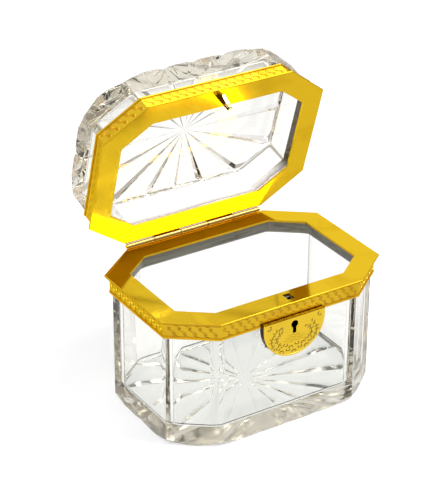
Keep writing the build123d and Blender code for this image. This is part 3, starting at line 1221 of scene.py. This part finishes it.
@dataclass
class BandWork:
    """The running scrolls, leaves and lines chased on both engraved bands."""

    repeat: Repeat
    bright: Material
    dark: Material
    face_setback: float = 2.4
    middle_level: float = 71.9
    pitch: float = 5.2
    margin: float = 1.1
    scroll: Scroll = Scroll(Curl.S_SHAPED, 7.4, -9.4, math.radians(-14.0), 13)
    shade_offset: Point2 = (0.26, -0.30)
    leaf: Scroll = Scroll(Curl.C_SHAPED, 1.1, 1.5, 0.0, 4)
    leaf_offset: float = 2.9
    line_levels: tuple[float, ...] = (67.6, 68.5, 75.3, 76.2)
    line_width: float = 0.34
    line_rise: float = 0.05

    def build(self) -> None:
        """Makes the base's band and, turned over and opened, the lid's."""
        turned_over = about_mouth(Matrix.Rotation(math.pi, 4, "X"))
        for body, opening in (("base", HERE), ("lid", LID_OPENING @ turned_over)):
            self.lay_motifs(body, opening)
            lines = Shape()
            for level in self.line_levels:
                lines.line_round(self.face_setback, level, self.line_width, self.line_rise)
            mount(lines.make(f"{body}_band_lines", opening), self.dark, body)

    def lay_motifs(self, body: str, opening: Matrix) -> None:
        """Makes one band's scrolls, the shade beside each, and the leaves between them.

        Args:
            body: The body that the band belongs to.
            opening: Where the band goes, in metres.
        """
        scroll = self.scroll.path()
        aside, lower = self.shade_offset
        shade = [(x + aside, z + lower) for x, z in scroll]
        # The scrolls' brighter gilt and the dark gilt of the shades beside them are a painted highlight and
        # a painted shadow.
        rows = (("scrolls", Chisel(0.46, 0.24, tapered=False), [scroll], 0.0, self.bright),
                ("shades", Chisel(0.56, 0.08, tapered=False), [shade], 0.0, self.dark),
                ("leaves", Chisel(0.42, 0.10), self.leaves(), 0.5, self.dark))
        for name, chisel, lines, shift, finish in rows:
            motif = chisel.cut("motif", lines)
            piece = self.repeat.lay(f"{body}_band_{name}", self.places(shift), motif, finish, opening)
            mount(piece, finish, body)

    def leaves(self) -> list[Path2]:
        """Small leaf strokes below and above, between two scrolls."""
        leaf = self.leaf.path()
        return [[(x * flip, z * flip + self.leaf_offset * flip) for x, z in leaf] for flip in (-1.0, 1.0)]

    def places(self, shift: float) -> list[Place]:
        """Where the copies go: evenly along each of the eight sides.

        Args:
            shift: How far along the row is moved, in steps; a shifted row has one copy less.

        Returns:
            Places in millimetres and turns in radians.
        """
        corners = OUTLINE.corners(self.face_setback)
        places = []
        for i, (facing, _) in enumerate(OUTLINE.sides(self.face_setback)):
            (x0, y0), (x1, y1) = corners[i - 1], corners[i]
            length = math.hypot(x1 - x0, y1 - y0) - 2 * self.margin
            count = round(length / self.pitch)
            step = length / count
            for k in range(count if shift == 0.0 else count - 1):
                share = (self.margin + (k + 0.5 + shift) * step) / (length + 2 * self.margin)
                place = Vector((x0 + (x1 - x0) * share, y0 + (y1 - y0) * share, self.middle_level))
                places.append((place, Vector((0.0, 0.0, facing + math.pi / 2))))
        return places


@dataclass
class LockPlate:
    """The half-round engraved plate of the lock, with a rim, a ring of scrolls and the keyhole."""

    repeat: Repeat
    finish: Material
    bright: Material
    dark: Material
    middle: float = MIDDLE_X
    half_width: float = 19.5
    top: float = 68.8
    straight: float = 3.8
    arc_steps: int = 36
    front: float = 48.61
    back: float = 48.25
    lip_back: float = 47.1
    lip_setback: float = 0.3
    lip_thickness: float = 0.4
    lip_rise: float = 0.05
    key_level: float = 64.4
    key_radius: float = 2.2
    key_slot_half_width: float = 1.1
    key_height: float = 7.6
    key_steps: int = 20
    rim_inset: float = 0.7
    ring_level: float = 57.2
    ring_start: float = 128.0
    ring_sweep: float = 284.0
    ring_rows: tuple[tuple[float, float, int], ...] = ((14.6, 8.6, 18), (11.2, 5.8, 14))
    corner_place: Point2 = (15.4, 65.4)
    corner_turn: float = 0.9
    wave_level: float = 55.6
    wave_gap: float = 1.25
    wave_height: float = 0.28
    wave_turn: float = 1.3
    wave_steps: int = 16
    wave_halves: tuple[float, ...] = (4.4, 6.6, 7.4, 6.2)

    def build(self) -> None:
        """Makes the plate and everything on it."""
        self.make_plate()
        drawn = (("rims", Chisel(0.45, 0.11, tapered=False), [self.rim()], self.bright),
                 ("waves", Chisel(0.30, 0.05), self.waves(), self.dark))
        for name, chisel, lines, finish in drawn:
            piece = chisel.cut(f"escutcheon_{name}", lines)
            piece.data.transform(Matrix.Translation((self.middle * MM, -self.front * MM, 0.0)))
            mount(piece, finish, "base")
        curl = Scroll(Curl.C_SHAPED, 2.7, 4.0, 0.0, 7).path()
        # The dark scrolls are patina with painted shade; the bright ones, set a little aside, are a painted
        # highlight.
        for name, finish, chisel, x, z in (("dark", self.dark, Chisel(0.66, 0.07), 0.0, 0.0),
                                           ("bright", self.bright, Chisel(0.36, 0.12), 0.46, -0.38)):
            motif = chisel.cut("motif", [curl])
            piece = self.repeat.lay(f"escutcheon_ring_{name}", self.ring(x, z), motif, finish)
            mount(piece, finish, "base")

    def outline(self, inset: float) -> Path2:
        """Draws the plate's outline as seen from the front.

        Args:
            inset: How far it is moved inwards.

        Returns:
            Its points about the plate's middle, clockwise from the upper left corner.
        """
        radius = self.half_width - inset
        centre = self.top - self.straight
        turns = [math.pi * i / self.arc_steps for i in range(self.arc_steps + 1)]
        arc = [(radius * math.cos(turn), centre - radius * math.sin(turn)) for turn in turns]
        return [(-radius, self.top - inset), (radius, self.top - inset)] + arc

    def keyhole(self) -> Path2:
        """Draws the keyhole: a round hole with a slot below it.

        Returns:
            Its points about the plate's middle.
        """
        radius, half = self.key_radius, self.key_slot_half_width
        bottom = self.key_level + self.key_radius - self.key_height
        start = math.asin(half / radius)
        sweep = FULL_TURN - 2 * start
        turns = [start + sweep * i / self.key_steps for i in range(self.key_steps + 1)]
        arc = [(radius * math.sin(turn), self.key_level - radius * math.cos(turn)) for turn in turns]
        return arc + [(-half, bottom), (half, bottom)]

    def make_plate(self) -> None:
        """The plate itself, pierced by the keyhole, with a lip that runs back from its top."""
        loops = [self.outline(0.0), self.keyhole()]
        triangles = tessellate_polygon([[Vector((x, z, 0.0)) for x, z in loop] for loop in loops])
        flat = [point for loop in loops for point in loop]
        count = len(flat)
        shape = Shape()
        shape.points = [Vector((x + self.middle, -y, z)) for y in (self.front, self.back) for x, z in flat]
        shape.faces = [tuple(corners) for corners in triangles]
        shape.faces += [tuple(i + count for i in reversed(corners)) for corners in triangles]
        start = 0
        for loop in loops:
            shape.faces += strip(start, start + count, len(loop))
            start += len(loop)
        lip = self.half_width - self.lip_setback
        shape.block((self.middle - lip, -self.front, self.top - self.lip_thickness),
                    (self.middle + lip, -self.lip_back, self.top + self.lip_rise))
        mount(shape.make("escutcheon_plate"), self.finish, "base", "escutcheon")

    def rim(self) -> Path2:
        """The line along the plate's sides and round edge."""
        edge = self.outline(self.rim_inset)
        return edge[1:] + edge[:1]

    def ring(self, x: float, z: float) -> list[Place]:
        """Places of the scrolls: on two oval rows that open above, and in the upper corners.

        Args:
            x: How far all are moved sideways.
            z: How far all are moved up.

        Returns:
            Places in millimetres and turns in radians.
        """
        places = []
        start, sweep = math.radians(self.ring_start), math.radians(self.ring_sweep)
        for row, (half_wide, half_high, count) in enumerate(self.ring_rows):
            for i in range(count):
                angle = start + sweep * (i + 0.5 * row) / count
                along, up = half_wide * math.cos(angle), half_high * math.sin(angle)
                outward = math.pi if (i + row) % 2 else 0.0
                turn = -math.atan2(half_high * math.cos(angle), -half_wide * math.sin(angle)) + outward
                place = self.on_face(along + x, self.ring_level + up + z)
                places.append((place, Vector((0.0, turn, 0.0))))
        aside, level = self.corner_place
        for side in (-1.0, 1.0):
            turn = self.corner_turn * side
            places.append((self.on_face(aside * side + x, level + z), Vector((0.0, turn, 0.0))))
        return places

    def on_face(self, x: float, z: float) -> Vector:
        """A point on the plate's face."""
        return Vector((x + self.middle, -self.front, z))

    def waves(self) -> list[Path2]:
        """Draws wavy lines across the field in the middle.

        Returns:
            The lines about the plate's middle, from the top down.
        """
        lines = []
        half_steps = self.wave_steps // 2
        for row, half in enumerate(self.wave_halves):
            level = self.wave_level + self.wave_gap * (2 - row)
            line = []
            for i in range(self.wave_steps + 1):
                swing = self.wave_height * math.sin(self.wave_turn * i + row)
                line.append((half * (i / half_steps - 1), level + swing))
            lines.append(line)
        return lines


@dataclass
class HingeWork:
    """The barrel hinge: a leaf on the base, a leaf on the lid and five knuckles between them."""

    finish: Material
    length: float = 87.0
    knuckles: int = 5
    gap: float = 0.35
    radius: float = 1.45
    leaf_start: float = 46.7
    leaf_end: float = 49.15
    leaf_top: float = 76.8
    leaf_thickness: float = 0.8
    overlap: float = 0.2

    def build(self) -> None:
        """Makes the base's leaf with knuckles 1, 3 and 5 and the lid's with 2 and 4."""
        mirrored = about_mouth(Matrix.Diagonal((1.0, 1.0, -1.0, 1.0)))
        for body, first, place in (("base", 0, HERE), ("lid", 1, LID_OPENING @ mirrored)):
            leaf = self.leaf(range(first, self.knuckles, 2))
            mount(leaf.make(f"{body}_hinge", place), self.finish, body, f"{body}_hinge_leaf")

    def leaf(self, own: Sequence[int]) -> Shape:
        """Draws one leaf as the base's.

        Args:
            own: Numbers of its knuckles.

        Returns:
            The leaf with those knuckles.
        """
        shape = Shape()
        half = self.length / 2
        low = self.leaf_top - self.leaf_thickness
        shape.block((-half, self.leaf_start, low), (half, self.leaf_end, self.leaf_top))
        step = (self.length + self.gap) / self.knuckles
        for index in own:
            left = -half + index * step
            right = left + step - self.gap
            shape.block((left, self.leaf_end - self.overlap, low), (right, AXIS_Y, self.leaf_top))
            shape.rod((AXIS_Y, AXIS_Z), self.radius, left, right)
        return shape


@dataclass
class StapleWork:
    """The tongue on the lid that the bolt holds: straight behind, slanted in front, with an eye."""

    finish: Material
    middle: float = MIDDLE_X
    half_thickness: float = 1.0
    centre: float = 42.2
    tip_depth: float = 8.35
    root_height: float = 0.12
    eye_half_width: float = 0.9
    eye_half_height: float = 1.5
    eye_depth: float = 5.6
    eye_overrun: float = 1.0
    crease: float = 35.0

    def side_view(self) -> Path2:
        """The tongue from its side, from its root behind, round its tip and up in front.

        Returns:
            For each corner, how far it is in front of the tongue's centre, and its level.
        """
        level = BASE_HEIGHT
        root, tip = level + self.root_height, level - self.tip_depth
        return [(-1.9, root), (-1.9, tip + 0.8), (-1.1, tip), (-0.3, tip),
                (0.5, tip + 0.7), (1.85, level - 2.0), (2.8, level - 0.3), (2.85, root)]

    def build(self) -> None:
        """Makes the tongue, pierces it and opens it with the lid."""
        left, right = self.middle - self.half_thickness, self.middle + self.half_thickness
        tongue = Shape()
        tongue.slab([(-self.centre - forward, z) for forward, z in self.side_view()], left, right)
        piece = tongue.make("staple_tongue")
        wide, high = self.eye_half_width, self.eye_half_height
        level = BASE_HEIGHT - self.eye_depth
        eye = Shape()
        eye.block((left - self.eye_overrun, -self.centre - wide, level - high),
                  (right + self.eye_overrun, -self.centre + wide, level + high))
        eye.cut_from(piece, self.crease)
        piece.data.transform(LID_OPENING)
        mount(piece, self.finish, "lid", "staple")


# --------------------------------------------------------------------------
# Cut glass
# --------------------------------------------------------------------------

@dataclass
class CutCup:
    """A cut glass cup standing on its star: flat walls, a rounded hollow, a sixteen-ray star.

    Sizes are in millimetres. The star's face is at z = 0 and the rim at z = height. A ray is
    ray_width_rate wide to either side, and ray_depth_rate deep, for each millimetre from the
    star's centre. Where ray_fade is set, it fades out over that length before the outer edge.
    """

    height: float
    hollow_rounding: float
    corner_notch: float
    slab: float = 9.3
    setback: float = 3.8
    wall: float = 6.6
    floor_radius: float = 2.2
    edge_rounding: float = 0.25
    rim_bevel: float = 0.3
    wall_foot: float = 8.0
    rays: int = 16
    corner_rays: tuple[int, ...] = (1, 2, 6, 7)
    ray_width_rate: float = 0.036
    ray_depth_rate: float = 0.030
    ray_hollowness: float = 1.0
    ray_fade: float = 0.0
    ray_stop: float = 1.0
    side_notch: float = 1.3
    side_notch_half_width: float = 4.0
    corner_notch_half_width: float = 10.0
    notch_length: float = 8.5
    steps_between_rays: int = 40
    ray_parts: tuple[float, ...] = (-1.0, -0.5, 0.5, 1.0)
    corner_offsets: tuple[float, ...] = (-0.45, -0.3, -0.15, 0.0, 0.15, 0.3, 0.45)
    inner_rings: int = 8
    outer_rings: int = 40
    outer_zone_start: float = 0.80
    floor_rings: int = 6
    line_degrees: tuple[float, float] = (2.0, 19.0)
    line_lifts: tuple[float, float] = (0.03, 0.10)
    fillet_steps: int = 9
    edge_steps: int = 3
    crease: float = 17.0
    directions: list[float] = field(default_factory=list, init=False)

    def __post_init__(self) -> None:
        """Works out the directions in which every ring has a point."""
        step = FULL_TURN / (self.rays * self.steps_between_rays)
        half_width = math.atan(self.ray_width_rate)
        wanted = [i * step for i in range(self.rays * self.steps_between_rays)]
        for ray in range(self.rays):
            middle = FULL_TURN * ray / self.rays
            wanted += [middle + half_width * part for part in self.ray_parts]
        for x, y in OUTLINE.corners(self.setback):
            middle = math.atan2(y, x)
            wanted += [middle + math.radians(offset) for offset in self.corner_offsets]
        self.directions = self._spaced(wanted, step / 12)

    @staticmethod
    def _spaced(wanted: Sequence[float], least: float) -> list[float]:
        """Sorts directions and drops those too close to the one before.

        Args:
            wanted: The directions, in radians.
            least: The least step between two.

        Returns:
            Those that are kept.
        """
        kept: list[float] = []
        for angle in sorted(angle % FULL_TURN for angle in wanted):
            if not kept or angle - kept[-1] > least:
                kept.append(angle)
        return kept

    def star_height(self, angle: float, share: float) -> float:
        """How far the star's cutting lifts the face at one place.

        Args:
            angle: Direction from the centre.
            share: Distance from the centre as a share of the way to the edge.

        Returns:
            The height over the flat face.
        """
        gap = FULL_TURN / self.rays
        ray = round(angle / gap) % self.rays
        offset = abs((angle - ray * gap + math.pi) % FULL_TURN - math.pi)
        edge = OUTLINE.radius(angle, self.setback, self.edge_rounding)
        radius = share * edge
        beside = radius * math.sin(offset)
        groove_width = self.ray_width_rate * radius
        inside = max(0.0, 1.0 - beside / max(groove_width, 1e-6))
        groove = self.ray_depth_rate * radius * inside ** self.ray_hollowness
        if self.ray_fade > 0.0:
            groove *= min(1.0, max(0.0, edge - radius - self.ray_stop) / self.ray_fade)
        to_corner = ray % (self.rays // 2) in self.corner_rays
        depth = self.corner_notch if to_corner else self.side_notch
        half_width = self.corner_notch_half_width if to_corner else self.side_notch_half_width
        out = 1.0 - (edge - radius) / self.notch_length
        return max(groove, depth * (out - beside / half_width), 0.0)

    def ring(self, setback: float, rounding: float, height: float) -> Ring:
        """A level ring of points on the outline."""
        return [self._point(angle, OUTLINE.radius(angle, setback, rounding), height)
                for angle in self.directions]

    @staticmethod
    def _point(angle: float, radius: float, height: float) -> Vector:
        """A point by its direction, its distance from the middle and its height."""
        return Vector((radius * math.cos(angle), radius * math.sin(angle), height))

    def star_rings_out(self) -> list[Ring]:
        """Makes the star's face.

        Returns:
            Rings from the star's centre to the outer edge, closer together near the edge.
        """
        setback = self.setback + self.edge_rounding
        start = self.outer_zone_start
        shares = [start * i / self.inner_rings for i in range(1, self.inner_rings + 1)]
        shares += [start + (1.0 - start) * i / self.outer_rings for i in range(1, self.outer_rings + 1)]
        rings = []
        for share in shares:
            rings.append([self._point(angle, share * OUTLINE.radius(angle, setback, self.edge_rounding),
                                      self.star_height(angle, share)) for angle in self.directions])
        return rings

    def wall_rings_up(self) -> list[Ring]:
        """Makes the outside of the wall.

        Returns:
            Rings round the rounded outer edge and up to the rim.
        """
        rings = []
        for step in range(1, self.edge_steps + 1):
            turn = math.pi / 2 * step / self.edge_steps
            inset = self.setback + self.edge_rounding * (1.0 - math.sin(turn))
            lift = self.edge_rounding * (1.0 - math.cos(turn))
            rings.append([self._point(angle, OUTLINE.radius(angle, inset, self.edge_rounding),
                                      self.star_height(angle, 1.0) + lift) for angle in self.directions])
        for height in (self.wall_foot, self.height - self.rim_bevel):
            rings.append(self.ring(self.setback, self.edge_rounding, height))
        rings.append(self.ring(self.setback + self.rim_bevel, self.edge_rounding, self.height))
        return rings

    def hollow_rings_down(self) -> list[Ring]:
        """Makes the hollow.

        Returns:
            Rings from the rim's inner edge down to the middle of the hollow's floor.
        """
        inner = self.setback + self.wall
        rings = [self.ring(inner - self.rim_bevel, self.hollow_rounding, self.height),
                 self.ring(inner, self.hollow_rounding, self.height - self.rim_bevel)]
        fillet_top = self.slab + self.floor_radius
        for step in range(self.fillet_steps + 1):
            turn = math.pi / 2 * step / self.fillet_steps
            inset = self.floor_radius * (1.0 - math.cos(turn))
            height = fillet_top - self.floor_radius * math.sin(turn)
            rings.append(self.ring(inner + inset, self.hollow_rounding - inset, height))
        last = rings[-1]
        for step in range(self.floor_rings - 1, 0, -1):
            share = step / self.floor_rings
            rings.append([Vector((p.x * share, p.y * share, self.slab)) for p in last])
        return rings

    def corner_line(self) -> Shape:
        """Makes a fine flat line that lies in the corner between the hollow's wall and floor.

        Returns:
            The line as a closed hoop.
        """
        loops = []
        inner = self.setback + self.wall
        upper, lower = self.line_degrees
        back, face = self.line_lifts
        for degrees, lift in ((upper, back), (lower, back), (lower, face), (upper, face)):
            turn = math.radians(degrees)
            reach = self.floor_radius - lift
            inset = self.floor_radius - reach * math.cos(turn)
            height = self.slab + self.floor_radius - reach * math.sin(turn)
            loops.append(self.ring(inner + inset, self.hollow_rounding - inset, height))
        line = Shape()
        line.hoop(loops)
        return line

    def build(self, name: str, place: Matrix) -> Object:
        """Joins all rings into one closed piece.

        Args:
            name: The piece's name.
            place: Where it goes, in metres.

        Returns:
            The piece.
        """
        rings = self.star_rings_out() + self.wall_rings_up() + self.hollow_rings_down()
        count = len(self.directions)
        points = [point for ring in rings for point in ring]
        bottom, top = len(points), len(points) + 1
        points += [Vector((0.0, 0.0, 0.0)), Vector((0.0, 0.0, self.slab))]
        faces: list[Face] = []
        for level in range(len(rings) - 1):
            faces += strip(level * count, (level + 1) * count, count)
        last = (len(rings) - 1) * count
        for i in range(count):
            after = (i + 1) % count
            faces += [(bottom, after, i), (top, last + i, last + after)]
        piece = add_mesh(name, points, faces, place)
        smooth_but_creased(piece.data, self.crease)
        return piece


@dataclass
class GlassWork:
    """Both cut glass cups, and the painted dark line in the base's."""

    crystal: Material
    worn_crystal: Material
    painted_reflection: Material
    plate_and_bedding: float = 2.0
    works_half_width: float = 16.3
    works_low: float = 52.7
    works_back: float = 39.9
    wall: float = 6.6

    def build(self) -> None:
        """Makes the base and the lid."""
        self.make_base()
        self.make_lid()

    def make_base(self) -> None:
        """The base cup, with the gap ground in its front wall for the lock."""
        cup = CutCup(height=BASE_HEIGHT - self.plate_and_bedding, hollow_rounding=10.0, corner_notch=2.4,
                     ray_width_rate=0.19, ray_depth_rate=0.025, ray_hollowness=2.0, ray_fade=14.0,
                     side_notch=0.7)
        piece = cup.build("base_cup", HERE)
        gap = Shape()
        gap.block((MIDDLE_X - self.works_half_width, -OUTLINE.half_depth, self.works_low),
                  (MIDDLE_X + self.works_half_width, self.wall - self.works_back, BASE_HEIGHT))
        gap.cut_from(piece, cup.crease)
        mount(piece, self.worn_crystal, "base", "base_glass")
        # The dark line in the hollow's corner is a painted reflection.
        mount(cup.corner_line().make("base_dust_line"), self.painted_reflection, "base")

    def make_lid(self) -> None:
        """The lid's cup, turned over and opened."""
        cup = CutCup(height=LID_HEIGHT - self.plate_and_bedding, hollow_rounding=5.5, corner_notch=3.8,
                     ray_width_rate=0.044, ray_depth_rate=0.034)
        level = (BASE_HEIGHT + SHUT_GAP + LID_HEIGHT) * MM
        turned = Matrix.Translation((0.0, 0.0, level)) @ Matrix.Rotation(math.pi, 4, "X")
        mount(cup.build("lid_cup", LID_OPENING @ turned), self.crystal, "lid", "lid_glass")


def main() -> None:
    """Builds the casket's sub-assemblies in order, then the studio."""
    logging.basicConfig(level=logging.INFO, format="%(name)s: %(message)s")
    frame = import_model()
    palette = Palette()
    GlassWork(palette.crystal, palette.worn_crystal, palette.painted_reflection).build()
    repeat = Repeat()
    BandWork(repeat, palette.bright, palette.shaded).build()
    HingeWork(palette.barrel).build()
    StapleWork(palette.staple).build()
    LockPlate(repeat, palette.lock_gilt, palette.glint, palette.engraved).build()
    palette.dress_nodes(frame["nodes"])
    Studio().build()
    scene = bpy.context.scene
    scene.view_settings.view_transform = "Standard"
    scene.cycles.max_bounces = 32
    scene.cycles.transmission_bounces = 32
    scene.cycles.glossy_bounces = 12


if __name__ == "__main__":
    main()
